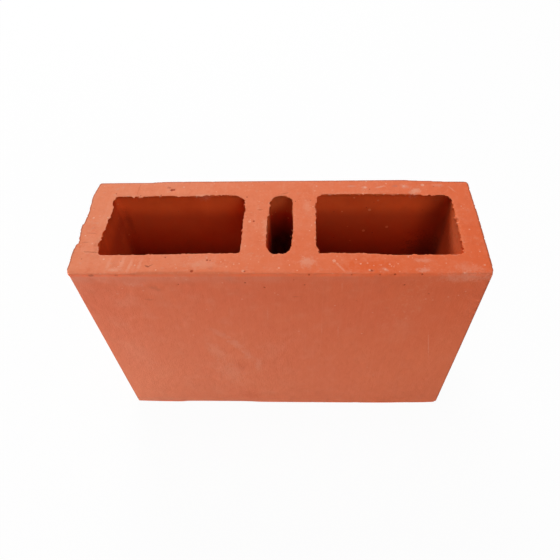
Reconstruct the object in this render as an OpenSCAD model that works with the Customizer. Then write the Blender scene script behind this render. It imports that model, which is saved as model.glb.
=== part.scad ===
// Hollow block, standing on its bed face as it is laid in a wall: two large cells with a
// narrow slot between them, all running straight through from one bed face to the other.
// X runs along the block, Y from its front face to its back face, and Z is up.
// The origin is the middle of the lower bed face. All sizes are in millimetres.

/* [Block] */
// Length of the block, between its two end faces
block_l = 303; // [240:1:420]
// Width of the block, between its front and back faces
block_w = 100; // [75:1:200]
// Height of the block, between its two bed faces
block_h = 200; // [90:1:260]

/* [Walls] */
// Thickness of the face shells, at the front and the back
shell_t = 18.5; // [12:0.5:25]
// Thickness of the two end walls
end_t = 18; // [12:0.5:30]
// Thickness of the two webs, each between a cell and the slot
web_t = 18.5; // [12:0.5:30]

/* [Openings] */
// Width of the slot, along the block
slot_w = 19; // [14:0.5:30]
// Radius of the slot's corners
slot_r = 6; // [1:0.5:6.5]
// Radius of the cells' corners
cell_r = 4; // [1:0.5:12]

/* [Edges] */
// Radius of the four upright arrises
arris_r = 1; // [0.5:0.25:5]
// Radius of the arrises round the two bed faces
bed_arris_r = 1; // [0.5:0.25:5]

/* [Hidden] */
$fn = 64;

// The two cells share what the walls, the webs and the slot leave of the length.
cell_l = (block_l - 2 * end_t - 2 * web_t - slot_w) / 2;
// Cells and slot are equally deep, from one face shell to the other.
opening_w = block_w - 2 * shell_t;
cell_x = slot_w / 2 + web_t + cell_l / 2;
// What cuts right through runs past both bed faces by this much.
overrun = 10;

// A rectangle about the origin, with its corners rounded to radius r.
module rounded_rectangle(length, width, r) {
    square([length - 2 * r, width], center = true);
    square([length, width - 2 * r], center = true);
    for (x = [-1, 1], y = [-1, 1])
        translate([x * (length / 2 - r), y * (width / 2 - r)])
            circle(r = r);
}

// The block before its openings: what its plan, its front view and its end view have in common.
module solid_block() {
    intersection() {
        linear_extrude(block_h)
            rounded_rectangle(block_l, block_w, arris_r);
        translate([0, block_w / 2, block_h / 2])
            rotate([90, 0, 0])
                linear_extrude(block_w)
                    rounded_rectangle(block_l, block_h, bed_arris_r);
        translate([-block_l / 2, 0, block_h / 2])
            rotate([90, 0, 90])
                linear_extrude(block_l)
                    rounded_rectangle(block_w, block_h, bed_arris_r);
    }
}

// One opening of the given length along the block, from below the lower bed to above the upper.
module opening(length, r) {
    translate([0, 0, -overrun])
        linear_extrude(block_h + 2 * overrun)
            rounded_rectangle(length, opening_w, r);
}

module block() {
    color("#c8694a")
        difference() {
            solid_block();
            for (side = [-1, 1])
                translate([side * cell_x, 0, 0])
                    opening(cell_l, cell_r);
            opening(slot_w, slot_r);
        }
}

block();
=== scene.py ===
import math

import bpy
from mathutils import Matrix, Vector


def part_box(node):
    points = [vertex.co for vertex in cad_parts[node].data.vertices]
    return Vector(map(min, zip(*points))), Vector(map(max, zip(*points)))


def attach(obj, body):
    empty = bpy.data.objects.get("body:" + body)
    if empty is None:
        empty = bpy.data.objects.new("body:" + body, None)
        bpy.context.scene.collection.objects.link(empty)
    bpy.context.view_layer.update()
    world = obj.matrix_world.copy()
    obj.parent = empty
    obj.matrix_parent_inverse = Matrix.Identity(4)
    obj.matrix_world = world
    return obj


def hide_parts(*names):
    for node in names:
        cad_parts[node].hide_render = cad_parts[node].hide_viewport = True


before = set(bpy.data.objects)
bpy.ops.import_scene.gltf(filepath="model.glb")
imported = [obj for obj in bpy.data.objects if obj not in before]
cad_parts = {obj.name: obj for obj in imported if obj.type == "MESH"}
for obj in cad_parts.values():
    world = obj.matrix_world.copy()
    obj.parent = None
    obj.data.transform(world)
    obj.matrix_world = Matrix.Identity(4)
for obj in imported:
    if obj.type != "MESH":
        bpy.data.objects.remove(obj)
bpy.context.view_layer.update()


# ---------------------------------------------------------------------------
# The block: one body of red clay, pressed out of a die with two cells and a slot
# through it, cut off the column by a wire at both bed faces, dried and fired.
# The die leaves fair walls with upright drag lines, and the wire tears the rims.
# ---------------------------------------------------------------------------

def add_node(tree, kind, inputs=(), output=0, **settings):
    """Adds a node with its settings and links, and gives one of its outputs. A kind in capitals
    is the operation of a math node."""
    if kind.isupper():
        kind, settings["operation"] = "ShaderNodeMath", kind
    node = tree.nodes.new(kind)
    for name, value in settings.items():
        setattr(node, name, value)
    for socket, value in inputs.items() if isinstance(inputs, dict) else enumerate(inputs):
        if isinstance(value, bpy.types.NodeSocket):
            tree.links.new(value, node.inputs[socket])
        elif value is not None:
            node.inputs[socket].default_value = value
    return node.outputs[output]


VECTOR, RANGE = "ShaderNodeVectorMath", "ShaderNodeMapRange"
SPLIT, JOIN = "ShaderNodeSeparateXYZ", "ShaderNodeCombineXYZ"
NOISE, CELLS = "ShaderNodeTexNoise", "ShaderNodeTexVoronoi"

# Sizes in millimetres. Length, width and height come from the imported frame.
MM = 0.001
block_low, block_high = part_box("block")
length, width, height = ((high - low) / MM for low, high in zip(block_low, block_high))
shell = 18.5
end_wall = 18.0
web = 18.5
slot_width = 19.0
opening_depth = width - 2 * shell
cell_length = (length - 2 * end_wall - 2 * web - slot_width) / 2
cell_middle = slot_width / 2 + web + cell_length / 2
top = height
front = -width / 2

form = bpy.data.node_groups.new("wire_cut_block", "GeometryNodeTree")
form_sizes = {
    "Length": length, "Width": width, "Height": height,
    "Cell Length": cell_length, "Cell Middle": cell_middle, "Cell Shift": 0.3,
    "Opening Depth": opening_depth, "Opening Shift": 0.6,
    "Slot Width": slot_width - 1.5, "Slot Shift": 1.2, "Slot Corner": 7.0, "Slot Step": 0.9,
    "Cell Corner": 3.0, "Right Wear": 1.3, "Back Wear": 1.6,
    "Arris": 0.6, "Back Arris": 1.0, "Back Right Arris": 0.8,
    "Bed Arris": 0.4, "Rim Arris": 0.3, "Chip": 0.9,
    "Face Hollow": 0.15, "Bed Hollow": 0.12,
    "Rim Depth": 3.2, "Lip Depth": 2.8, "Lip Setback": 0.6,
    "Fray": 1.9, "Calm Fray": 1.4, "End Fray": 0.5, "End Lean": 0.5,
    "Pit Spacing": 19.0, "Pit Size": 0.35, "Fine Zone": 26.0, "Squeeze": 5.0,
}
form.interface.new_socket("Marks", in_out="INPUT", socket_type="NodeSocketGeometry")
for name, value in form_sizes.items():
    form.interface.new_socket(name, in_out="INPUT", socket_type="NodeSocketFloat").default_value = value
form.interface.new_socket("Clay", in_out="INPUT", socket_type="NodeSocketMaterial")
form.interface.new_socket("Block", in_out="OUTPUT", socket_type="NodeSocketGeometry")
size = {socket.name: socket for socket in form.nodes.new("NodeGroupInput").outputs}

half_length = add_node(form, "MULTIPLY", (size["Length"], 0.5))
half_width = add_node(form, "MULTIPLY", (size["Width"], 0.5))
half_height = add_node(form, "MULTIPLY", (size["Height"], 0.5))

# The block is worked out in a box whose middle is squeezed in height, because only the
# ends near the beds need fine voxels: the plain walls between them come out of fewer.
boxed = add_node(form, VECTOR, (add_node(form, "GeometryNodeInputPosition"), (1 / MM,) * 3),
                 operation="MULTIPLY")
x, y, boxed_z = add_node(form, SPLIT, (boxed,)).node.outputs
plain_half = add_node(form, "SUBTRACT", (half_height, size["Fine Zone"]))
squeezed_half = add_node(form, "DIVIDE", (plain_half, size["Squeeze"]))
from_centre = add_node(form, "ABSOLUTE", (boxed_z,))
in_plain = add_node(form, "MINIMUM", (from_centre, squeezed_half))
in_fine = add_node(form, "SUBTRACT", (from_centre, squeezed_half))
in_fine = add_node(form, "MAXIMUM", (in_fine, 0.0))
from_centre = add_node(form, "MULTIPLY_ADD", (in_plain, size["Squeeze"], in_fine))
z_side = add_node(form, "SIGN", (boxed_z,))
z = add_node(form, "MULTIPLY_ADD", (from_centre, z_side, half_height))
where = add_node(form, JOIN, (x, y, z))
place = add_node(form, VECTOR, (where, (MM, MM, MM)), operation="MULTIPLY")

x_side = add_node(form, "SIGN", (x,))
y_side = add_node(form, "SIGN", (y,))
on_left = add_node(form, "LESS_THAN", (x, 0.0))
on_right = add_node(form, "GREATER_THAN", (x, 0.0))
at_back = add_node(form, "GREATER_THAN", (y, 0.0))
at_front = add_node(form, "LESS_THAN", (y, 0.0))


def rounded_meeting(first, second, radius):
    """Distance to two sides that meet in a rounded arris, from the distance to each side."""
    pair = add_node(form, JOIN, (first, second))
    past = add_node(form, VECTOR, (pair, add_node(form, JOIN, (radius, radius))), operation="ADD")
    beyond = add_node(form, VECTOR, (past, (0, 0, 0)), operation="MAXIMUM")
    beyond = add_node(form, VECTOR, (beyond,), "Value", operation="LENGTH")
    past_first, past_second, _ = add_node(form, SPLIT, (past,)).node.outputs
    within = add_node(form, "MAXIMUM", (past_first, past_second))
    within = add_node(form, "MINIMUM", (within, 0.0))
    both = add_node(form, "ADD", (beyond, within))
    return add_node(form, "SUBTRACT", (both, radius))


def lumps(grain, detail=2.0, seed=0.0):
    """Three unlike noises from about -1 to 1, in lumps of the given number of millimetres."""
    spot = add_node(form, VECTOR, (where, (1 / grain,) * 3, (seed, seed, seed)), operation="MULTIPLY_ADD")
    noise = add_node(form, NOISE, {"Vector": spot, "Scale": 1.0, "Detail": detail, "Roughness": 0.55},
                     "Color")
    spread = add_node(form, VECTOR, (noise, (4, 4, 4), (-2, -2, -2)), operation="MULTIPLY_ADD")
    return add_node(form, SPLIT, (spread,)).node.outputs


def outline(along, places, handle="AUTO_CLAMPED"):
    """How far a side stands off its plane, in millimetres, by a line through places along it."""
    least = min(off for _, off in places)
    most = max(off for _, off in places)
    first, last = places[0][0], places[-1][0]
    part = add_node(form, RANGE, {"Value": along, "From Min": first, "From Max": last})
    line = add_node(form, "ShaderNodeFloatCurve", {"Value": part})
    mapping = line.node.mapping
    points = mapping.curves[0].points
    drawn = [((step - first) / (last - first), (off - least) / (most - least)) for step, off in places]
    points[0].location, points[1].location = drawn[0], drawn[-1]
    for spot in drawn[1:-1]:
        points.new(*spot)
    for point in points:
        point.handle_type = handle
    mapping.update()
    return add_node(form, RANGE, {"Value": line, "To Min": least, "To Max": most})


# Each side is measured from its own plane. Drying leaves the long faces and the beds a
# little hollow here and there, and the back face bows, with the right end drawn in.
from_end = add_node(form, "ABSOLUTE", (x,))
from_end = add_node(form, "SUBTRACT", (from_end, half_length))
from_face = add_node(form, "ABSOLUTE", (y,))
from_face = add_node(form, "SUBTRACT", (from_face, half_width))
from_bed = add_node(form, "SUBTRACT", (from_centre, half_height))
_, face_hollow, bed_hollow = lumps(75.0, 1.0, 4.2)
face_hollow = add_node(form, "MAXIMUM", (face_hollow, 0.0))
face_hollow = add_node(form, "MULTIPLY", (face_hollow, size["Face Hollow"]))
bed_hollow = add_node(form, "MULTIPLY_ADD", (bed_hollow, size["Bed Hollow"], size["Bed Hollow"]))
bed_hollow = add_node(form, "MAXIMUM", (bed_hollow, 0.0))
bed = add_node(form, "ADD", (from_bed, bed_hollow))
back_bow = outline(x, [(-151.5, 1.3), (-128, 0.9), (-108, 1.0), (-102, 0.4), (-88, 0.1), (4, 0.0), (95, 0.0),
                       (107, 0.7), (120, 1.2), (126, 1.8), (151.5, 2.7)])
back_bow = add_node(form, "MULTIPLY", (back_bow, at_back))
front_bow = outline(x, [(-151.5, 0.9), (-115, 0.15), (-85, 0.0), (70, 0.0), (115, 0.35), (151.5, 1.1)])
front_bow = add_node(form, "MULTIPLY", (front_bow, at_front))
upright_from = 0.9 * height
to_floor = add_node(form, RANGE, {"Value": z, "From Min": 0.0, "From Max": upright_from,
                    "To Min": 1.0, "To Max": 0.0})
face = add_node(form, "ADD", (from_face, face_hollow))
face = add_node(form, "ADD", (face, back_bow))
face = add_node(form, "MULTIPLY_ADD", (front_bow, to_floor, face))

# How near a point is to a cut bed face: 1 at the cut, 0 at the depth that the wire tore to.
# Most of the lips, and the scattered pits, are at the upper bed only.
rim_thick, lip_thick = 0.9, 0.4
upper_none, upper_all = height - 26.0, height - 20.0
depth = add_node(form, "MULTIPLY", (from_bed, -1.0))
at_rim = add_node(form, RANGE, {"Value": depth, "From Min": rim_thick, "From Max": size["Rim Depth"],
                  "To Min": 1.0, "To Max": 0.0}, interpolation_type="SMOOTHSTEP")
at_lip = add_node(form, RANGE, {"Value": depth, "From Min": lip_thick, "From Max": size["Lip Depth"],
                  "To Min": 1.0, "To Max": 0.0}, interpolation_type="SMOOTHSTEP")
upper = add_node(form, RANGE, {"Value": z, "From Min": upper_none, "From Max": upper_all})
upper_lip = add_node(form, "MULTIPLY", (at_lip, upper))

# The ends lean out a little to the floor. The wire dragged a lip of clay out over them at the
# upper bed, most on the left. There it is missing at the back, and a notch and a step break it
# further forward.
left_wall_inset, right_wall_inset = 2.7, 0.9
left_lip = outline(y, [(-50, 2.2), (-47.5, 1.1), (-45.5, 0.3), (-44, 0.2), (-40, 0.35), (-29, 0.0),
                       (-24.4, 0.2), (-20.3, 0.8), (-18.4, 1.9), (-14, 1.2), (-9.9, 0.8), (-1.3, 0.0),
                       (0.8, 0.3), (3, 1.0), (16.5, 1.5), (21, 0.9), (25.7, 0.9), (30.5, 0.4),
                       (37, 1.0), (43, 1.9), (50, 2.8)])
left_inset = add_node(form, "ShaderNodeMix", {"Factor": upper_lip, 2: left_wall_inset, 3: left_lip},
                      data_type="FLOAT")
right_lip = outline(y, [(-50, 1.4), (-47.5, 0.6), (-45, 0.0), (50, 0.0)])
bow_starts, bow_depth = 5.0, 0.8
right_bow = add_node(form, RANGE, {"Value": y, "From Min": bow_starts, "From Max": width / 2,
                     "To Max": bow_depth})
right_inset = add_node(form, "ShaderNodeMix", {"Factor": upper_lip, 2: right_wall_inset, 3: right_lip},
                       data_type="FLOAT")
right_inset = add_node(form, "ADD", (right_inset, right_bow))
inset = add_node(form, "ShaderNodeMix", {"Factor": on_left, 2: right_inset, 3: left_inset}, data_type="FLOAT")
end = add_node(form, "ADD", (from_end, inset))
lean = add_node(form, "MULTIPLY", (to_floor, size["End Lean"]))
end = add_node(form, "SUBTRACT", (end, lean))
least_torn, most_torn = 0.1, 0.9
torn = []
for fine in lumps(2.8, 3.0, 7.3):
    fine = add_node(form, RANGE, {"Value": fine, "From Min": least_torn, "From Max": most_torn})
    torn.append(add_node(form, "MULTIPLY", (fine, at_rim)))
ragged_x, end_fray, ragged_y = torn
end = add_node(form, "MULTIPLY_ADD", (end_fray, size["End Fray"], end))

# The arris at the back right is rubbed round and the others are nearly sharp. The beds'
# arrises are chipped here and there, and in front they are worn round left of the middle.
back_right = add_node(form, "MULTIPLY", (at_back, on_right))
arris = add_node(form, "MULTIPLY_ADD", (at_back, size["Back Arris"], size["Arris"]))
arris = add_node(form, "MULTIPLY_ADD", (back_right, size["Back Right Arris"], arris))
plan = rounded_meeting(end, face, arris)
wear_reach = 4.0
near_front = add_node(form, RANGE, {"Value": y, "From Min": front + wear_reach,
                      "From Max": front + 2 * wear_reach, "To Min": 1.0, "To Max": 0.0})
front_wear = outline(x, [(-151.5, 0.6), (-112, 0.6), (-104, 0.9), (-92, 2.6), (-60, 2.8), (-34, 2.2),
                         (-20, 0.9), (40, 0.7), (60, 0.5), (90, 0.4), (151.5, 0.6)])
bed_arris = add_node(form, "MULTIPLY_ADD", (near_front, front_wear, size["Bed Arris"]))
chip_noise = lumps(9.0, 3.0, 1.7)[0]
chipped = add_node(form, RANGE, {"Value": chip_noise, "From Min": 0.4, "From Max": 1.2})
bed_arris = add_node(form, "MULTIPLY_ADD", (chipped, size["Chip"], bed_arris))
outside = rounded_meeting(plan, bed, bed_arris)


def with_rim(lip, rim, part, near_cut):
    """Adds a rim line to a lip: what stands out is near the cut, what is torn out runs down the wall."""
    rim = add_node(form, "MULTIPLY", (rim, part))
    out = add_node(form, "MAXIMUM", (rim, 0.0))
    lip = add_node(form, "MULTIPLY_ADD", (out, near_cut, lip))
    torn_out = add_node(form, "MINIMUM", (rim, 0.0))
    return add_node(form, "ADD", (lip, torn_out))


def opening(local_x, long_side, radius, lip_x, lip_y):
    """Distance to the wall of an opening through the block, below 0 in the hollow."""
    across = add_node(form, "ABSOLUTE", (local_x,))
    across = add_node(form, "MULTIPLY_ADD", (long_side, -0.5, across))
    local_y = add_node(form, "SUBTRACT", (y, size["Opening Shift"]))
    along = add_node(form, "ABSOLUTE", (local_y,))
    along = add_node(form, "MULTIPLY_ADD", (size["Opening Depth"], -0.5, along))
    across = add_node(form, "SUBTRACT", (across, size["Lip Setback"]))
    along = add_node(form, "SUBTRACT", (along, size["Lip Setback"]))
    across = add_node(form, "ADD", (across, lip_x))
    along = add_node(form, "ADD", (along, lip_y))
    return rounded_meeting(across, along, radius)


# The wire leaves ragged lips of clay over the rims: rough at the back, where it pulled
# out of the opening, and calm at the front. The walls under the lips stand back a little.
fray_x = add_node(form, "MULTIPLY", (ragged_x, size["Fray"]))
calm_fray_x = add_node(form, "MULTIPLY", (ragged_x, size["Calm Fray"]))
fray_y = add_node(form, "ShaderNodeMix", {"Factor": at_back, 2: size["Calm Fray"], 3: size["Fray"]},
                  data_type="FLOAT")
fray_y = add_node(form, "MULTIPLY", (ragged_y, fray_y))
front_wave = outline(x, [(-133, 0.1), (-80, 0.7), (-28, 1.6), (-9, 1.2), (-3, 0.6), (4, 0.8), (30, 1.6),
                         (60, 1.2), (75, 0.4), (87, -0.6), (105, -0.4), (118, -0.4), (133, 0.3)])
back_wave = outline(x, [(-133, 0.8), (-120, 0.5), (-115, 1.0), (-103, 0.6), (-92, 0.2), (-73, 1.0),
                        (-66, 0.5), (-63, 1.4), (-60.5, -0.2), (-49, -0.6), (-36, 0.3), (-8, 1.2),
                        (1, 1.0), (5, 0.7), (30, 0.3), (40, -0.5), (60, -0.5), (80, -0.2), (101, 0.2),
                        (112, 0.9), (128, 1.4), (133, 1.9)])
fray_y = add_node(form, "MULTIPLY_ADD", (front_wave, at_front, fray_y))
fray_y = with_rim(fray_y, back_wave, at_back, at_lip)

# At the left rim of the left cell the lip stands out furthest, in long scallops with cusps.
left_rim = outline(y, [(-31.5, 2.1), (-26, 1.6), (-22.4, 0.0), (-20.4, -0.6), (-17, 0.3), (-12.2, 0.6),
                       (-10.8, 0.0), (-9, 0.0), (-4, 1.3), (2.9, 1.9), (4.5, 1.1), (6, 1.2), (9.5, 2.3),
                       (12, 2.4), (17, 2.5), (20.5, 2.6), (22.5, 0.8), (26, 0.8), (30.5, 1.3)], "VECTOR")
cell_x = add_node(form, "MULTIPLY_ADD", (x_side, size["Cell Middle"], size["Cell Shift"]))
cell_x = add_node(form, "SUBTRACT", (x, cell_x))
left_wall = add_node(form, "LESS_THAN", (cell_x, 0.0))
torn_wall = add_node(form, "MULTIPLY", (left_wall, on_left))
torn_wall = add_node(form, "MULTIPLY", (torn_wall, upper_lip))
cell_lip = add_node(form, "MULTIPLY_ADD", (left_rim, torn_wall, fray_x))

# The rims over the webs stand out at the corners. What is torn out of them runs down the wall.
right_web_rim = outline(y, [(-31.5, 2.5), (-28, 1.6), (-24.8, 1.6), (-23.2, 0.7), (-21, 0.35), (-15, 0.2),
                            (-9, 0.35), (6, 0.4), (13, 0.2), (19, 0.1), (21.8, 0.2), (23.5, 1.5),
                            (27, 1.7), (31.5, 2.2)], "VECTOR")
left_web_rim = outline(y, [(-31.5, 0.8), (-29, 0.3), (-23, 0.5), (-20, 0.1), (-17.5, -0.05), (-13, 0.5),
                           (-7, -0.1), (-1, 0.4), (4.6, 0.2), (6.4, -0.7), (8.2, 0.2), (12.4, 0.1),
                           (15.4, -1.0), (17.8, -0.2), (20.2, 0.2), (22.2, -0.3), (25, 0.2), (27.2, 0.6),
                           (29.2, 2.2), (31.5, 3.0)], "VECTOR")
right_of_web = add_node(form, "MULTIPLY", (left_wall, on_right))
left_of_web = add_node(form, "GREATER_THAN", (cell_x, 0.0))
left_of_web = add_node(form, "MULTIPLY", (left_of_web, on_left))
cell_lip = with_rim(cell_lip, right_web_rim, right_of_web, upper_lip)
cell_lip = with_rim(cell_lip, left_web_rim, left_of_web, upper_lip)

# The cells' corners: the die's cores are worn, so the far right corner is the roundest.
cell_x_side = add_node(form, "SIGN", (cell_x,))
cell_corner = add_node(form, "MULTIPLY_ADD", (cell_x_side, size["Right Wear"], size["Cell Corner"]))
cell_corner = add_node(form, "MULTIPLY_ADD", (y_side, size["Back Wear"], cell_corner))
cell = opening(cell_x, size["Cell Length"], cell_corner, cell_lip, fray_y)

# The slot's core stood a little askew, so the front part of its left wall steps back.
step_starts, step_ends = 7.0, 11.0
step = add_node(form, RANGE, {"Value": y, "From Min": step_starts, "From Max": step_ends,
                "To Min": 1.0, "To Max": 0.0}, interpolation_type="SMOOTHSTEP")
step = add_node(form, "MULTIPLY", (step, size["Slot Step"]))
slot_x = add_node(form, "SUBTRACT", (x, size["Slot Shift"]))
slot_x = add_node(form, "MULTIPLY_ADD", (step, 0.5, slot_x))
slot_long = add_node(form, "ADD", (size["Slot Width"], step))
slot_bulge = outline(y, [(-31, 0.6), (-20, 0.6), (-17, 0.4), (-12, -0.3), (-3, -0.5), (5, -0.5), (9, -0.3),
                         (14, 0.2), (22, 0.2), (26, 0.4), (29, 1.4), (31, 1.8)])
slot_right = add_node(form, "GREATER_THAN", (slot_x, 0.0))
slot_lip = add_node(form, "MULTIPLY_ADD", (slot_right, slot_bulge, calm_fray_x))
slot_rim = outline(y, [(-31, 0.6), (-27, 0.9), (-24.5, 0.6), (-21, 0.2), (-12, 0.0), (1, 0.1), (10, 0.0),
                       (15, 0.4), (20, 0.5), (22, 0.1), (24.5, 0.5), (26.5, 1.9), (29, 1.4), (31, 1.8)],
                   "VECTOR")
slot_left = add_node(form, "LESS_THAN", (slot_x, 0.0))
slot_left = add_node(form, "MULTIPLY", (slot_left, upper_lip))
slot_lip = add_node(form, "MULTIPLY_ADD", (slot_left, slot_rim, slot_lip))
slot = opening(slot_x, slot_long, size["Slot Corner"], slot_lip, fray_y)
hollow = add_node(form, "MINIMUM", (cell, slot))
in_clay = add_node(form, "MULTIPLY", (hollow, -1.0))
clay = rounded_meeting(outside, in_clay, size["Rim Arris"])

# Pits from grit that fell out, scattered through the body so that the surface cuts some open.
least_pit = 0.4
pit_scale = add_node(form, "DIVIDE", (1.0, size["Pit Spacing"]))
pit_cells = add_node(form, CELLS, {"Vector": where, "Scale": pit_scale, "Randomness": 1.0}, "Distance").node
pit_away = add_node(form, "MULTIPLY", (pit_cells.outputs["Distance"], size["Pit Spacing"]))
pit_kind = add_node(form, SPLIT, (pit_cells.outputs["Color"],), "X")
pit_reach = add_node(form, "MULTIPLY_ADD", (pit_kind, size["Pit Size"], least_pit))
pit_edge = add_node(form, "SUBTRACT", (pit_reach, pit_away))
pit = add_node(form, "MULTIPLY", (add_node(form, "MAXIMUM", (pit_edge, 0.0)), upper))
clay = add_node(form, "ADD", (clay, pit))

# The marks that are known one by one: each is a point with a reach and a depth.
nearest = add_node(form, "GeometryNodeSampleNearest", {"Geometry": size["Marks"], "Sample Position": place})
mark = {}
for name in ("reach", "depth"):
    value = add_node(form, "GeometryNodeInputNamedAttribute", {"Name": name}, data_type="FLOAT")
    mark[name] = add_node(form, "GeometryNodeSampleIndex", {"Geometry": size["Marks"], "Value": value,
                          "Index": nearest}, data_type="FLOAT")
mark_place = add_node(form, "GeometryNodeSampleIndex", {"Geometry": size["Marks"], "Index": nearest,
                      "Value": add_node(form, "GeometryNodeInputPosition")}, data_type="FLOAT_VECTOR")
away = add_node(form, VECTOR, (mark_place, place), "Value", operation="DISTANCE")
away = add_node(form, "MULTIPLY", (away, 1 / MM))
mark_edge = add_node(form, "SUBTRACT", (mark["reach"], away))
bowl = add_node(form, "DIVIDE", (away, mark["reach"]))
bowl = add_node(form, "MULTIPLY", (bowl, bowl))
bowl = add_node(form, "SUBTRACT", (1.0, bowl), use_clamp=True)
clay = add_node(form, "MULTIPLY_ADD", (bowl, mark["depth"], clay))
bed_gap = 0.05
inside_beds = add_node(form, "ADD", (from_bed, bed_gap))
clay = add_node(form, "MAXIMUM", (clay, inside_beds))

# The finish is told how far each point lies inside a pit, and how far it is from an opening
# and from the nearest outer arris, which is the middle one of its distances to the sides.
# A mark that is wider than a pit is a broken place, and gets none of the pits' painted shade.
widest_pit, far_off = 1.9, 10.0
is_pit = add_node(form, "LESS_THAN", (mark["reach"], widest_pit))
is_pit = add_node(form, "MULTIPLY_ADD", (is_pit, 2 * far_off, -far_off))
pitted = add_node(form, "MINIMUM", (mark_edge, is_pit))
below_bed = add_node(form, "MULTIPLY_ADD", (upper, far_off, -far_off))
pitted = add_node(form, "MAXIMUM", (pitted, add_node(form, "ADD", (pit_edge, below_bed))))
to_arris = add_node(form, "MINIMUM", (add_node(form, "MAXIMUM", (end, face)), bed))
to_arris = add_node(form, "MAXIMUM", (add_node(form, "MINIMUM", (end, face)), to_arris))

# The volume holds more than half where there is clay, and the mesh is its surface.
voxel = 0.6
blurred_voxels = 4
margin = 2.1
fine_zone, squeeze = form_sizes["Fine Zone"], form_sizes["Squeeze"]
box_half = (length / 2 + margin, width / 2 + margin, (height / 2 - fine_zone) / squeeze + fine_zone + margin)
voxels = [round(2 * side / voxel) for side in box_half]
half_full = 0.5
amount = add_node(form, "MULTIPLY_ADD", (clay, -1 / (blurred_voxels * voxel), half_full))
volume = add_node(form, "GeometryNodeVolumeCube", {
    "Density": amount, "Background": 0.0,
    "Min": tuple(-side * MM for side in box_half), "Max": tuple(side * MM for side in box_half),
    "Resolution X": voxels[0], "Resolution Y": voxels[1], "Resolution Z": voxels[2]})
skin = add_node(form, "GeometryNodeVolumeToMesh", {"Volume": volume, "Threshold": half_full},
                resolution_mode="GRID")

# Crumbs that hang loose by the rims are brushed off.
crumb_points = 2000
island = add_node(form, "GeometryNodeInputMeshIsland")
island_points = add_node(form, "GeometryNodeAccumulateField", {"Value": 1.0, "Group ID": island}, "Total")
crumb = add_node(form, "LESS_THAN", (island_points, crumb_points))
skin = add_node(form, "GeometryNodeDeleteGeometry", {"Geometry": skin, "Selection": crumb})
for name, value in (("pitted", pitted), ("to_arris", to_arris), ("from_rim", hollow)):
    skin = add_node(form, "GeometryNodeStoreNamedAttribute", {"Geometry": skin, "Name": name, "Value": value},
                    data_type="FLOAT", domain="POINT")
skin = add_node(form, "GeometryNodeSetPosition", {"Geometry": skin, "Position": place})
skin = add_node(form, "GeometryNodeSetShadeSmooth", {"Geometry": skin})
skin = add_node(form, "GeometryNodeRealizeInstances", {"Geometry": skin})
skin = add_node(form, "GeometryNodeSetMaterial", {"Geometry": skin, "Material": size["Clay"]})
form.links.new(skin, form.nodes.new("NodeGroupOutput").inputs["Block"])

# The marks, in millimetres: x, y, z, reach, depth.
marks = [
    # pits in the upper bed
    (-87.8, 39.4, top, 1.5, 1.5), (-86.2, 39.6, top, 1.2, 1.0), (-60.6, -47.0, top, 1.3, 1.3),
    (-50.7, -36.7, top, 1.0, 1.0), (-48.5, -36.9, top, 0.8, 0.8), (-22.9, -47.3, top, 0.9, 0.9),
    (-19.3, 3.0, top, 1.0, 1.0), (-26.2, 30.5, top, 0.8, 0.6), (-113.4, -37.3, top, 0.65, 0.5),
    (-81.5, -33.9, top, 0.8, 0.7), (-112.2, 32.8, top, 0.8, 0.5), (-132.5, 35.4, top, 0.7, 0.4),
    (-142.8, -35.2, top, 0.6, 0.4), (12.4, 25.1, top, 0.7, 0.5), (71.6, 38.9, top, 0.7, 0.4),
    (66.8, -46.9, top, 0.9, 0.4), (133.9, 3.0, top, 2.4, 1.6),
    # nicks along the front arris, and a broken corner at its foot
    (22.8, front, top - 1.2, 0.9, 0.6), (52.6, front, top - 1.2, 0.7, 0.5),
    (72.3, front, top - 1.2, 0.8, 0.5), (82.9, front, top - 1.0, 1.0, 0.8),
    (101.7, front, top - 1.0, 0.9, 0.7), (151.5, front, 0.0, 3.6, 1.8),
    # grit holes in the front face
    (63.5, front, 151.9, 0.9, 0.5), (67.9, front, 141.6, 0.9, 0.5), (83.8, front, 92.0, 0.9, 0.5),
    (-23.1, front, 190.2, 0.9, 0.5), (-9.4, front, 184.9, 0.9, 0.5), (19.7, front, 187.8, 0.8, 0.4),
    (32.1, front, 106.0, 0.8, 0.4), (-71.7, front, 188.6, 0.8, 0.4), (-79.0, front, 169.0, 0.7, 0.4),
    (91.1, front, 187.7, 0.9, 0.4), (102.5, front, 163.1, 0.8, 0.3), (110.3, front, 177.4, 0.7, 0.3),
]
mark_mesh = bpy.data.meshes.new("marks")
mark_mesh.from_pydata([[side * MM for side in mark_row[:3]] for mark_row in marks], [], [])
for name, column in (("reach", 3), ("depth", 4)):
    values = mark_mesh.attributes.new(name, "FLOAT", "POINT")
    values.data.foreach_set("value", [mark_row[column] for mark_row in marks])


def linear(hex_colour):
    """An sRGB hex colour as the linear RGBA that a shader takes."""
    channels = (int(hex_colour[i:i + 2], 16) / 255 for i in (1, 3, 5))
    return tuple(c / 12.92 if c <= 0.04045 else ((c + 0.055) / 1.055) ** 2.4 for c in channels) + (1.0,)


# Wire-cut terracotta: iron-red clay with sand grains, fired without a glaze. It is dull and
# slightly chalky, the cut beds are paler and open-grained, the die-pressed walls are
# smoother and deeper in colour, and the walls of the openings stay the reddest.
fired_clay = bpy.data.materials.new("wire_cut_terracotta")
fired_clay.use_nodes = True
finish = fired_clay.node_tree
shader = finish.nodes["Principled BSDF"]
shader.inputs["Specular IOR Level"].default_value = 0.15
shader.inputs["IOR"].default_value = 1.5

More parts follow.
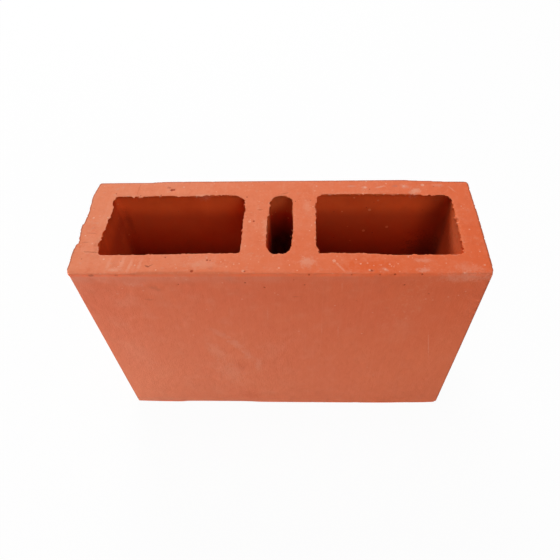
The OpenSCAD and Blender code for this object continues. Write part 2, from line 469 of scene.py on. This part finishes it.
MIX = "ShaderNodeMix"
at = add_node(finish, "ShaderNodeTexCoord", output="Object")
at = add_node(finish, VECTOR, (at, (1 / MM,) * 3), operation="MULTIPLY")
at_x, at_y, at_z = add_node(finish, SPLIT, (at,)).node.outputs
at_depth = add_node(finish, "SUBTRACT", (at_z, height / 2))
at_depth = add_node(finish, "ABSOLUTE", (at_depth,))
at_depth = add_node(finish, "SUBTRACT", (height / 2, at_depth))


def cloud(grain, detail, low, high, stretch=(1, 1, 1), turn=0.0, seed=0.0):
    """A mask from 0 to 1 in patches of the given millimetres, stretched, and turned about z in degrees."""
    spot = add_node(finish, "ShaderNodeMapping", {
        "Vector": at, "Location": (seed, seed, seed), "Rotation": (0, 0, math.radians(turn)),
        "Scale": tuple(1 / (grain * longer) for longer in stretch)})
    noise = add_node(finish, NOISE, {"Vector": spot, "Scale": 1.0, "Detail": detail, "Roughness": 0.6})
    return add_node(finish, RANGE, {"Value": noise, "From Min": low, "From Max": high},
                    interpolation_type="SMOOTHSTEP")


def fading(value, full, gone):
    """A mask that is 1 where the value is at full, and goes smoothly to 0 where it is at gone."""
    return add_node(finish, RANGE, {"Value": value, "From Min": full, "From Max": gone, "To Min": 1.0,
                    "To Max": 0.0}, interpolation_type="SMOOTHSTEP")


def specks(spacing, share, size_low, size_high, soft=0.25):
    """A mask of round specks: one in a cell of the given spacing, in the given share of the cells."""
    cells = add_node(finish, CELLS, {"Vector": at, "Scale": 1 / spacing, "Randomness": 1.0}, "Distance")
    kind = add_node(finish, SPLIT, (cells.node.outputs["Color"],)).node.outputs
    reach = add_node(finish, RANGE, {"Value": kind["X"], "To Min": size_low, "To Max": size_high})
    kept = add_node(finish, "LESS_THAN", (kind["Y"], share))
    away = add_node(finish, "MULTIPLY", (cells, spacing))
    dot = add_node(finish, "SUBTRACT", (reach, away))
    dot = add_node(finish, RANGE, {"Value": dot, "From Min": 0.0, "From Max": soft},
                   interpolation_type="SMOOTHSTEP")
    return add_node(finish, "MULTIPLY", (dot, kept))


def smear(middle, reach, turn=0.0, axis="Z"):
    """A mask of one soft, ragged patch: its middle and its reach each way in millimetres."""
    spot = add_node(finish, VECTOR, (at, middle), operation="SUBTRACT")
    spot = add_node(finish, "ShaderNodeVectorRotate", {"Vector": spot, "Angle": math.radians(turn)},
                    rotation_type=axis + "_AXIS")
    spot = add_node(finish, VECTOR, (spot, reach), operation="DIVIDE")
    away = add_node(finish, VECTOR, (spot,), "Value", operation="LENGTH")
    by_ragged, by_crumbled, full, gone = 0.7, 0.6, 0.8, 2.1
    away = add_node(finish, "MULTIPLY_ADD", (ragged, by_ragged, away))
    away = add_node(finish, "MULTIPLY_ADD", (crumbled, by_crumbled, away))
    return fading(away, full, gone)


# Where the beds, the outer walls and the walls of the openings are.
facing = add_node(finish, "ShaderNodeTexCoord", output="Normal")
facing = add_node(finish, "ABSOLUTE", (add_node(finish, SPLIT, (facing,), "Z"),))
on_bed = fading(facing, 0.8, 0.5)
off_bed = add_node(finish, "SUBTRACT", (1.0, on_bed))
outer_skin = 6.0
off_middle = add_node(finish, "ABSOLUTE", (at_x,))
inside_x = add_node(finish, "LESS_THAN", (off_middle, length / 2 - outer_skin))
inside_y = add_node(finish, "ABSOLUTE", (at_y,))
inside_y = add_node(finish, "LESS_THAN", (inside_y, width / 2 - outer_skin))
in_opening = add_node(finish, "MULTIPLY", (inside_x, inside_y))
in_opening = add_node(finish, "MULTIPLY", (in_opening, off_bed))
in_slot = add_node(finish, "LESS_THAN", (off_middle, slot_width))
in_slot = add_node(finish, "MULTIPLY", (in_slot, in_opening))
outer = add_node(finish, "SUBTRACT", (1.0, in_opening))
outer_wall = add_node(finish, "SUBTRACT", (outer, on_bed), use_clamp=True)
ragged = cloud(5.0, 3.0, 0.25, 0.75, seed=3.0)
crumbled = cloud(1.7, 3.0, 0.3, 0.7, seed=13.0)

# The fire was hotter on the right: the clay there is a deeper orange, and the left end is
# paler and dusty. The outer walls are redder near the upper bed and paler near the lower,
# where the paleness is painted light from the floor.
patchy = cloud(60.0, 3.0, 0.3, 0.7, seed=11.0)
heat_middle, heat_right, heat_front, heat_patchy = 0.42, 0.9, 0.25, 0.16
to_right = add_node(finish, "MULTIPLY_ADD", (at_x, heat_right / length, heat_middle))
to_right = add_node(finish, "MULTIPLY_ADD", (at_y, -heat_front / width, to_right))
to_right = add_node(finish, "MULTIPLY_ADD", (patchy, heat_patchy, to_right), use_clamp=True)
to_left = add_node(finish, "MULTIPLY_ADD", (to_right, -0.8, 1.0))
# The outer walls turn paler towards their foot: painted light from the floor.
foot_painted_light = add_node(finish, RANGE, {"Value": at_z, "From Min": height * 0.95, "From Max": height * 0.05})
foot_painted_light = add_node(finish, "MULTIPLY_ADD", (patchy, 0.3, foot_painted_light))
foot_painted_light = add_node(finish, "SUBTRACT", (foot_painted_light, 0.15), use_clamp=True)


def blend(part, first, second):
    """The first colour going over to the second, each a hex colour or a colour worked out before."""
    first, second = (linear(hue) if isinstance(hue, str) else hue for hue in (first, second))
    return add_node(finish, MIX, {0: part, 6: first, 7: second}, 2, data_type="RGBA")


bed_colour = blend(to_right, "#ea8a65", "#e76a3e")
wall_high = blend(to_right, "#e07554", "#d9653f")
wall_low_painted_light = blend(to_right, "#e58563", "#e47953")
wall_colour = blend(foot_painted_light, wall_high, wall_low_painted_light)
# Painted light on the openings' walls near the beds and painted shade deeper in, darkest in the narrow slot.
opening_colour_and_shade = blend(fading(at_depth, 26.0, 11.0), "#fc7638", "#dd6532")
opening_colour_and_shade = blend(fading(at_depth, 80.0, 45.0), opening_colour_and_shade, "#a63e14")
slot_colour_and_shade = blend(fading(at_depth, 22.0, 9.0), "#ff8444", "#e05022")
slot_colour_and_shade = blend(fading(at_depth, 52.0, 16.0), slot_colour_and_shade, "#621808")
colour = blend(in_opening, wall_colour, blend(in_slot, opening_colour_and_shade, slot_colour_and_shade))
colour = blend(on_bed, colour, bed_colour)

# Layers over the body: drying scum, drag marks, dust, an orange band of painted light under the
# arrises, the pale frayed rims, painted shade along the outer arrises, a painted shadow under
# the back lips, and painted shade in the far corner of the right cell.
dusty_bed = add_node(finish, "MULTIPLY", (on_bed, to_left))
dusty_outer = add_node(finish, "MULTIPLY", (outer, to_left))
high_wall = add_node(finish, "MULTIPLY", (fading(at_depth, 4.0, 60.0), outer_wall))
# An orange band of painted light on the outer walls just under the arrises of the beds.
arris_painted_light = add_node(finish, "MULTIPLY", (fading(at_depth, 0.8, 4.2), outer_wall))
scum_band = add_node(finish, "MULTIPLY", (fading(at_depth, 4.0, 13.0), outer_wall))
scum_band = add_node(finish, "MULTIPLY", (scum_band, add_node(finish, "POWER", (to_left, 2.0))))
limed = smear((95.0, front, 162.0), (40.0, 8.0, 16.0), 70, "Y")
from_rim = add_node(finish, "ShaderNodeAttribute", output="Fac", attribute_name="from_rim")
rim_edge = add_node(finish, "MULTIPLY", (fading(from_rim, 0.4, 1.8), on_bed))
# Painted shade along the outer arrises, stronger on the beds and left off at the front.
arris_painted_shade = add_node(finish, "ShaderNodeAttribute", output="Fac", attribute_name="to_arris")
arris_painted_shade = fading(arris_painted_shade, -0.5, -1.9)
front_arris = add_node(finish, "MULTIPLY", (fading(at_y, front + 3, front + 5), fading(at_depth, 5.0, 7.0)))
arris_painted_shade = add_node(finish, "SUBTRACT", (arris_painted_shade, front_arris), use_clamp=True)
arris_shade_part = add_node(finish, "MULTIPLY_ADD", (on_bed, 0.5, 0.5))
arris_painted_shade = add_node(finish, "MULTIPLY", (arris_painted_shade, arris_shade_part))
# A painted shadow on the walls of the openings just under the back lips.
lip_painted_shadow = add_node(finish, "MULTIPLY", (fading(at_depth, 1.4, 3.4), fading(at_y, 28.0, 20.0)))
lip_painted_shadow = add_node(finish, "MULTIPLY", (lip_painted_shadow, in_opening))
# Painted shade in the far corner of the right cell.
corner_place, corner_wide, corner_deep = (131.0, 30.0, 0.0), 24.0, 16.0
corner = add_node(finish, VECTOR, (at, corner_place), operation="SUBTRACT")
corner = add_node(finish, VECTOR, (corner, (1 / corner_wide, 1 / corner_deep, 0.0)), operation="MULTIPLY")
corner = add_node(finish, VECTOR, (corner,), "Value", operation="LENGTH")
corner = add_node(finish, "MULTIPLY", (fading(corner, 0.15, 1.0), in_opening))
layers = [
    # what it covers, its mask, how strong, its colour
    (dusty_outer, cloud(16.0, 4.0, 0.45, 0.75, seed=21.0), 0.22, "#f0a585"),
    (outer, cloud(9.0, 4.0, 0.5, 0.8, seed=5.0), 0.16, "#cf5c3a"),
    (high_wall, cloud(13.0, 4.0, 0.42, 0.75, seed=31.0), 0.18, "#bb5738"),
    (high_wall, cloud(6.0, 4.0, 0.55, 0.8, (1.6, 1, 0.7), seed=41.0), 0.16, "#e0957a"),
    (scum_band, cloud(14.0, 3.0, 0.25, 0.6, seed=2.0), 0.64, "#dc9076"),
    (arris_painted_light, cloud(12.0, 3.0, 0.2, 0.65, seed=8.0), 0.64, "#fa7242"),
    (limed, cloud(3.6, 4.0, 0.5, 0.68, seed=19.0), 0.22, "#e29470"),
    (outer_wall, cloud(1.6, 2.0, 0.45, 0.8, (1, 1, 60)), 0.05, "#f0a284"),
    (outer_wall, cloud(2.2, 2.0, 0.5, 0.85, (1, 1, 45), seed=9.0), 0.04, "#b85036"),
    (dusty_bed, cloud(4.0, 3.0, 0.5, 0.75, (1, 7, 1), -7, seed=6.0), 0.14, "#f2b295"),
    (dusty_bed, cloud(4.5, 4.0, 0.58, 0.72, (1.3, 1, 1), seed=14.0), 0.34, "#dba28a"),
    (on_bed, cloud(7.0, 3.0, 0.5, 0.8, seed=17.0), 0.28, "#d8572c"),
    (on_bed, cloud(3.6, 3.0, 0.5, 0.75, seed=29.0), 0.16, "#f0a283"),
    (on_bed, cloud(2.2, 3.0, 0.55, 0.75, seed=23.0), 0.20, "#cc6644"),
    (rim_edge, cloud(2.4, 3.0, 0.5, 0.66, seed=33.0), 0.40, "#f0ab8c"),
    (arris_painted_shade, cloud(20.0, 2.0, 0.0, 0.4, seed=37.0), 0.60, "#924a30"),
    (lip_painted_shadow, cloud(4.0, 3.0, 0.2, 0.5, seed=47.0), 0.20, "#7a2a10"),
    (in_opening, cloud(20.0, 3.0, 0.4, 0.75, seed=27.0), 0.25, "#d0501f"),
    (corner, 1.0, 0.46, "#561a0c"),
]
for cover, mask, strength, hue in layers:
    mask = add_node(finish, "MULTIPLY", (mask, cover))
    mask = add_node(finish, "MULTIPLY", (mask, strength))
    colour = blend(mask, colour, hue)

# Smears that the wire and the setter's hands left: middle and reach in millimetres, turn in
# degrees, strength and colour. These are on the upper bed, with their places in x and y.
bed_smears = [
    # streaks, a crack and a fold at the left of the upper bed
    (-116.5, -46.0, 5.0, 2.2, 0, 0.32, "#f2b89c"),
    (-122.0, -41.0, 1.3, 7.0, 7, 0.22, "#f2b89c"),
    (-112.5, -40.0, 1.5, 7.5, 7, 0.28, "#f2b89c"),
    (-106.0, -41.0, 1.3, 7.0, 7, 0.30, "#f2b89c"),
    (-99.0, -40.5, 1.1, 6.0, 7, 0.24, "#f2b89c"),
    (-117.5, -39.0, 2.0, 6.0, 5, 0.18, "#cf6544"),
    (-138.4, -28.4, 5.6, 0.5, 4, 0.75, "#a84f36"),
    (-90.5, 42.2, 1.6, 1.2, 0, 0.60, "#b85a40"),
    (-93.5, -42.4, 1.7, 0.5, 25, 0.80, "#9c4630"),
    (-91.3, -42.0, 1.9, 0.5, -33, 0.80, "#9c4630"),
    (-142.0, -9.0, 4.0, 0.5, 6, 0.40, "#bd6248"),
    (-144.5, -18.5, 3.0, 0.5, -5, 0.40, "#bd6248"),
    (-115.0, 41.0, 0.6, 8.0, 2, 0.45, "#cf6a48"),
    (-146.5, 18.0, 1.6, 0.7, 30, 0.35, "#b86a50"),
    # scuffs on the middle of the upper bed
    (-55.0, -41.0, 13.0, 4.0, 0, 0.26, "#e9ae92"),
    (-47.5, -44.6, 2.4, 1.6, 0, 0.30, "#c9654a"),
    (-62.0, 33.0, 6.0, 1.4, 0, 0.25, "#f0b79c"),
    (-15.3, 15.6, 2.0, 0.6, 0, 0.45, "#a9492c"),
    (3.8, 34.2, 3.6, 0.6, -20, 0.45, "#b05537"),
    (21.5, 20.0, 3.0, 9.0, 0, 0.26, "#eeaa8c"),
    (22.0, -38.5, 6.0, 5.0, -20, 0.40, "#eeb094"),
    (45.0, -43.6, 0.8, 6.5, -37, 0.45, "#f0b79a"),
    # scuffs and lime at the right of the upper bed
    (66.0, -42.5, 22.0, 8.0, 0, 0.60, "#e45a22"),
    (57.3, 42.5, 4.0, 1.6, 0, 0.28, "#e6ab95"),
    (67.5, 41.0, 2.4, 1.6, 0, 0.35, "#e6b09a"),
    (80.5, 41.5, 4.2, 1.0, -14, 0.45, "#ecb8a0"),
    (92.3, 42.2, 2.4, 1.6, 0, 0.45, "#b9786a"),
    (99.5, 42.0, 4.0, 2.6, 0, 0.30, "#e6b09c"),
    (107.0, 36.0, 5.5, 3.0, -30, 0.45, "#eab49a"),
    (126.0, 43.0, 5.0, 2.0, 0, 0.25, "#e8a78c"),
    (136.5, 38.6, 0.7, 5.0, -35, 0.35, "#eda88a"),
    (145.4, -16.3, 2.4, 1.8, 0, 0.28, "#ec9d7c"),
    (103.0, -37.5, 6.0, 2.2, 0, 0.30, "#eab096"),
    (103.6, -46.5, 4.6, 2.2, 0, 0.38, "#ecb49c"),
    (76.5, -46.0, 2.6, 1.4, 30, 0.38, "#e6b09a"),
    (66.6, -47.0, 1.8, 1.2, 0, 0.50, "#a4705e"),
    (134.0, -44.5, 10.0, 4.5, 10, 0.21, "#eda88c"),
]
# These are on the front face, with their places in x and z.
front_smears = [
    # two dark nicks in the front arris
    (-133.0, top - 1.4, 2.6, 0.9, 0, 0.60, "#a34a34"),
    (-114.1, top - 1.4, 2.2, 0.9, 0, 0.60, "#a34a34"),
    # a rubbed patch at the middle of the front face
    (-50.0, 124.0, 3.6, 10.0, 45, 0.20, "#e9a388"),
    (-38.0, 108.0, 4.0, 10.0, 33, 0.28, "#eba58a"),
    (-30.0, 92.0, 3.4, 9.0, 15, 0.24, "#e9a388"),
    (-56.0, 96.0, 6.0, 14.0, 21, 0.22, "#e9a388"),
    (-48.0, 62.0, 11.0, 18.0, 10, 0.22, "#e9a387"),
    (-21.5, 76.0, 3.0, 9.0, -8, 0.26, "#eba58a"),
    (-38.0, 74.0, 5.5, 10.0, 15, 0.26, "#c8583a"),
    (-34.0, 16.0, 12.0, 9.0, 0, 0.26, "#cc5c3a"),
    # fine scratches, scuffs and bloom on the front face
    (123.3, 108.0, 0.5, 18.0, 11, 0.26, "#eba98c"),
    (46.8, 128.0, 0.5, 9.0, 3, 0.24, "#e9a387"),
    (46.6, 186.0, 0.5, 5.0, 3, 0.20, "#e9a387"),
    (33.5, 129.5, 0.5, 6.5, 2, 0.16, "#e9a387"),
    (-9.0, 153.0, 0.6, 8.0, -3, 0.16, "#e9a387"),
    (-90.5, 184.5, 4.4, 2.6, -38, 0.34, "#a8583f"),
    (-97.5, 170.5, 3.6, 1.3, -4, 0.30, "#a9553c"),
    (13.5, 174.0, 3.0, 0.5, 0, 0.34, "#a04a32"),
    (-104.0, 189.0, 7.0, 3.0, 0, 0.24, "#e0a088"),
    (-126.0, 96.0, 14.0, 20.0, 0, 0.12, "#eba083"),
    (98.0, 130.0, 10.0, 22.0, -14, 0.09, "#e59673"),
    (134.0, 196.0, 18.0, 5.0, 0, 0.29, "#eaa488"),
]
# These are painted light and shade on the walls of the openings, with the axis that they are turned about.
opening_light_and_shade = [
    # painted light on the slot's left wall and the right cell's right wall, paler where the light reaches
    ((-10.0, -5.0, 195.0), (3.0, 12.0, 8.0), 0, "X", 0.30, "#f2b090"),
    ((133.5, -6.0, 190.0), (4.0, 22.0, 16.0), 0, "X", 0.34, "#ff966a"),
    # painted shade low in the right cell's far corner
    ((124.0, 31.5, 138.0), (15.0, 8.0, 18.0), 0, "Y", 0.36, "#3a0c04"),
    # painted shade on the left cell's left wall in front and in its far corner, painted light further in
    ((-133.5, -22.0, 188.0), (4.0, 12.0, 14.0), 0, "X", 0.22, "#8a3010"),
    ((-133.5, 23.0, 154.0), (3.0, 8.0, 15.0), 0, "X", 0.38, "#ff8040"),
    ((-128.5, 32.5, 172.0), (3.0, 4.0, 12.0), 0, "X", 0.26, "#6a2410"),
]
into_clay = 6.0
smears = [((along, across, top), (wide, deep, into_clay), turned, "Z", strength, hue)
          for along, across, wide, deep, turned, strength, hue in bed_smears]
smears += [((along, front, up), (wide, into_clay, tall), turned, "Y", strength, hue)
           for along, up, wide, tall, turned, strength, hue in front_smears]
smears += opening_light_and_shade
for middle, reach, turned, axis, strength, hue in smears:
    mask = add_node(finish, "MULTIPLY", (smear(middle, reach, turned, axis), strength))
    colour = blend(mask, colour, hue)

# Grains: sand that shows through, pale grog, open pores, and the pits and flecks of the form, with painted
# shade in the pits.
sand = specks(2.6, 0.5, 0.2, 0.5, 0.3)
chalk = add_node(finish, "MULTIPLY", (specks(3.1, 0.6, 0.45, 0.9, 0.3), on_bed))
chalk = add_node(finish, "MULTIPLY", (chalk, cloud(14.0, 2.0, 0.4, 0.6, seed=43.0)))
grog = specks(6.0, 0.35, 0.45, 0.95)
big_grog = add_node(finish, "MULTIPLY", (specks(9.0, 0.35, 0.8, 1.5, 0.5), in_opening))
pores = specks(6.5, 0.5, 0.25, 0.7, 0.4)
pore_share = add_node(finish, "MULTIPLY_ADD", (outer_wall, -0.4, 0.6))
open_pores = add_node(finish, "MULTIPLY", (pores, pore_share))
grog_colour = blend(in_opening, "#f3bda2", "#f79a63")
# Painted shade in the pits that the form cut open.
pit_painted_shade = add_node(finish, "ShaderNodeAttribute", output="Fac", attribute_name="pitted")
pit_painted_shade = fading(pit_painted_shade, 0.4, -0.1)

# The flecks of lime that are known one by one, with their reach, in millimetres: on the upper bed
# by x and y, on the front face and on the right cell's back wall by x and z.
bed_flecks = [
    (-22.3, 2.7, 1.3), (40.7, -37.5, 1.5), (56.4, -36.4, 0.9), (64.3, -39.9, 0.9), (68.5, -42.2, 0.8),
    (79.8, -41.1, 1.0), (80.9, -42.8, 0.8), (85.8, -40.6, 0.8), (82.5, -43.4, 0.7), (73.7, -41.7, 0.8),
    (76.3, -45.7, 1.0), (1.4, -44.3, 1.1), (14.4, -46.6, 0.8), (-23.9, -47.1, 1.4), (-27.2, -40.2, 0.8),
    (-31.1, -40.7, 0.8), (-36.1, -43.0, 0.9), (-40.5, -38.4, 0.8), (-24.0, -22.9, 0.9), (23.4, -7.4, 0.8),
    (25.0, -1.5, 0.8), (68.3, 41.1, 1.3), (99.1, 42.3, 1.2), (85.3, 45.4, 0.9), (65.9, 33.8, 0.9),
    (93.5, 32.6, 0.9), (114.1, 43.4, 1.7), (142.0, -6.9, 0.9), (146.0, -41.9, 1.0), (145.2, -29.1, 0.8),
    (-138.6, -19.7, 0.9), (-114.3, -42.8, 0.8), (-72.1, -44.1, 0.8), (130.9, -49.3, 1.0),
]
front_flecks = [
    (109.2, 171.2, 0.9), (114.6, 169.9, 0.8), (125.2, 173.6, 0.9), (132.2, 175.5, 0.8),
    (136.1, 180.1, 0.9), (66.1, 125.1, 1.0), (71.9, 154.2, 0.8), (75.8, 71.1, 0.8), (82.9, 57.0, 0.8),
    (15.1, 128.3, 1.0), (42.6, 163.1, 0.9), (-2.3, 178.4, 0.8), (-0.1, 176.6, 0.8), (-27.2, 171.0, 1.0),
    (-39.5, 190.3, 0.9), (-106.5, 188.7, 0.9), (-119.5, 177.7, 1.0), (-99.2, 181.4, 1.0),
    (-105.3, 186.9, 0.9), (-114.1, 184.1, 0.9), (-72.2, 122.3, 1.0), (-72.4, 196.0, 0.9),
    (-65.0, 193.9, 0.9), (-87.2, 87.6, 0.8), (-55.8, 158.2, 0.8),
]
cell_flecks = [
    (50.5, 181.3, 1.1), (72.8, 183.1, 1.6), (56.1, 164.3, 0.9), (70.0, 159.4, 1.6), (89.2, 164.0, 1.5),
    (59.4, 147.2, 1.0), (78.6, 193.3, 1.2), (59.3, 196.0, 1.2),
]
cell_back_wall = 32.7
flecks = [((along, across, top), reach) for along, across, reach in bed_flecks]
flecks += [((along, front, up), reach) for along, up, reach in front_flecks]
flecks += [((along, cell_back_wall, up), reach) for along, up, reach in cell_flecks]
lime = 0.0
for fleck_place, reach in flecks:
    away = add_node(finish, VECTOR, (at, fleck_place), "Value", operation="DISTANCE")
    lime = add_node(finish, "MAXIMUM", (lime, fading(away, reach - 0.5, reach)))
lime_colour = blend(outer_wall, "#f6c0a4", "#e9a184")
lime_colour = blend(in_opening, lime_colour, "#ff955c")
lime_strength, more_in_opening = 0.42, 0.45
lime_share = add_node(finish, "MULTIPLY_ADD", (in_opening, more_in_opening, lime_strength))
lime = add_node(finish, "MULTIPLY", (lime, lime_share))
for mask, strength, hue in ((sand, 0.20, "#c9583a"), (chalk, 0.28, "#f4bb9c"), (grog, 0.60, grog_colour),
                            (big_grog, 0.80, "#f79a63"), (open_pores, 1.0, "#98402a"),
                            (lime, 1.0, lime_colour), (pit_painted_shade, 0.75, "#9a2404")):
    mask = add_node(finish, "MULTIPLY", (mask, strength))
    colour = blend(mask, colour, hue)
finish.links.new(colour, shader.inputs["Base Color"])
rough = add_node(finish, RANGE, {"Value": patchy, "To Min": 0.82, "To Max": 0.95})
finish.links.new(rough, shader.inputs["Roughness"])

# Relief in millimetres: grit, low hollows, the wire's ripples on the beds, the die's lines on the
# walls, pores and grog. The die's real lines are too fine to show, so these and the streaks of
# colour along them are drawn coarser than they are.
everywhere = 1.0
relief = 0.0
for cover, mask, tall in (
        (everywhere, cloud(1.0, 3.0, 0.2, 0.8, seed=1.0), 0.08),
        (everywhere, cloud(7.0, 3.0, 0.2, 0.8, seed=12.0), 0.20),
        (on_bed, cloud(2.8, 2.0, 0.2, 0.8, (1, 10, 1), -7, seed=6.0), 0.05),
        (outer_wall, cloud(1.6, 2.0, 0.2, 0.8, (1, 1, 60)), 0.02),
        (on_bed, pores, -0.35), (everywhere, grog, 0.12)):
    part = add_node(finish, "MULTIPLY", (mask, cover))
    relief = add_node(finish, "MULTIPLY_ADD", (part, tall, relief))
bumped = add_node(finish, "ShaderNodeBump", {"Strength": 1.0, "Distance": MM, "Height": relief}, "Normal")
finish.links.new(bumped, shader.inputs["Normal"])

block = bpy.data.objects.new("clay_block", mark_mesh)
bpy.context.scene.collection.objects.link(block)
former = block.modifiers.new("form", "NODES")
former.node_group = form
for item in form.interface.items_tree:
    if item.in_out == "INPUT" and item.name in form_sizes:
        former[item.identifier] = form_sizes[item.name]
    if item.name == "Clay":
        former[item.identifier] = fired_clay


def settled(piece):
    """Turns the piece into the plain mesh that its modifiers make."""
    view = bpy.context.evaluated_depsgraph_get()
    made = bpy.data.meshes.new_from_object(piece.evaluated_get(view), preserve_all_data_layers=True,
                                           depsgraph=view)
    piece.modifiers.clear()
    piece.data = made
    while len(made.materials) > 1:
        made.materials.pop(index=0)
    made.polygons.foreach_set("material_index", [0] * len(made.polygons))


settled(block)
most_triangles = 190_000
thin = block.modifiers.new("thin", "DECIMATE")
thin.ratio = min(1.0, most_triangles / (2 * len(block.data.polygons)))
settled(block)
sharp_angle = math.radians(40)
block.data.set_sharp_from_angle(angle=sharp_angle)

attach(block, "root")
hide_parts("block")

# ---------------------------------------------------------------------------
# The studio: a white paper floor, soft lamps behind, overhead, low on the left and in
# front, and a camera that looks down at the front of the block.
# ---------------------------------------------------------------------------
bpy.ops.mesh.primitive_plane_add(size=6.0)
floor = bpy.context.object
floor.name = "floor"
paper = bpy.data.materials.new("white_paper")
paper.use_nodes = True
paper_tree = paper.node_tree
paper_shader = paper_tree.nodes["Principled BSDF"]
paper_shader.inputs["Base Color"].default_value = linear("#e7e7e7")
paper_shader.inputs["Roughness"].default_value = 0.9
paper_shader.inputs["Specular IOR Level"].default_value = 0.2


def seen_white(tree):
    """1 on what the camera sees, straight, mirrored or through glass, and 0 on what lights the block."""
    ray = add_node(tree, "ShaderNodeLightPath").node.outputs
    seen = add_node(tree, "MAXIMUM", (ray["Is Camera Ray"], ray["Is Glossy Ray"]))
    return add_node(tree, "MAXIMUM", (seen, ray["Is Transmission Ray"]))


# The camera sees the paper white, with a trace of the block's shadow left on it.
white = linear("#ffffff")
shown_white = 0.96
paper_white = add_node(paper_tree, "MULTIPLY", (seen_white(paper_tree), shown_white))
glow = add_node(paper_tree, "ShaderNodeEmission", {"Color": white, "Strength": 1.0})
mixed = add_node(paper_tree, "ShaderNodeMixShader", (paper_white, paper_shader.outputs[0], glow))
paper_tree.links.new(mixed, paper_tree.nodes["Material Output"].inputs["Surface"])
floor.data.materials.append(paper)

world = bpy.data.worlds.new("studio")
bpy.context.scene.world = world
world.use_nodes = True
sky = world.node_tree
sky.nodes["Background"].inputs["Color"].default_value = white
sky.links.new(seen_white(sky), sky.nodes["Background"].inputs["Strength"])

block_middle = Vector((0, 0, height / 2 * MM))


def softbox(name, azimuth, elevation, distance, wide, high, power):
    """A soft lamp turned to the block: azimuth 0 is in front, 90 on the right, 180 behind."""
    around, up = math.radians(azimuth), math.radians(elevation)
    towards = Vector((math.sin(around) * math.cos(up), -math.cos(around) * math.cos(up), math.sin(up)))
    lamp = bpy.data.lights.new(name, "AREA")
    lamp.shape = "RECTANGLE"
    lamp.size, lamp.size_y = wide, high
    lamp.energy = power
    holder = bpy.data.objects.new(name, lamp)
    bpy.context.scene.collection.objects.link(holder)
    holder.location = block_middle + towards * distance
    holder.rotation_euler = towards.to_track_quat("Z", "Y").to_euler()
    holder.visible_camera = False


softbox("behind", 195, 35, 1.9, 0.9, 0.9, 25.0)
softbox("overhead", 195, 86, 1.9, 0.9, 0.9, 16.0)
softbox("left_fill", -75, 0, 1.5, 0.8, 0.2, 20.5)
softbox("right_fill", 22, 25, 1.9, 0.9, 0.9, 5.5)
softbox("front_fill", 30, 0, 1.5, 0.8, 0.2, 3.0)

camera = bpy.data.objects.new("camera", bpy.data.cameras.new("camera"))
bpy.context.scene.collection.objects.link(camera)
bpy.context.scene.camera = camera
turn, tilt, roll = (math.radians(angle) for angle in (3.18, 53.35, 2.54))
camera_place = (0.01904, -0.2865, 0.4775)
camera.matrix_world = (Matrix.Translation(camera_place)
                       @ Matrix.Rotation(turn, 4, "Z")
                       @ Matrix.Rotation(math.pi / 2 - tilt, 4, "X")
                       @ Matrix.Rotation(-roll, 4, "Z"))
camera.data.sensor_width = 36.0
camera.data.lens = 33.35
camera.data.shift_x = -0.0118
camera.data.shift_y = 0.0512

bpy.context.scene.view_settings.view_transform = "Standard"

bpy.context.view_layer.update()
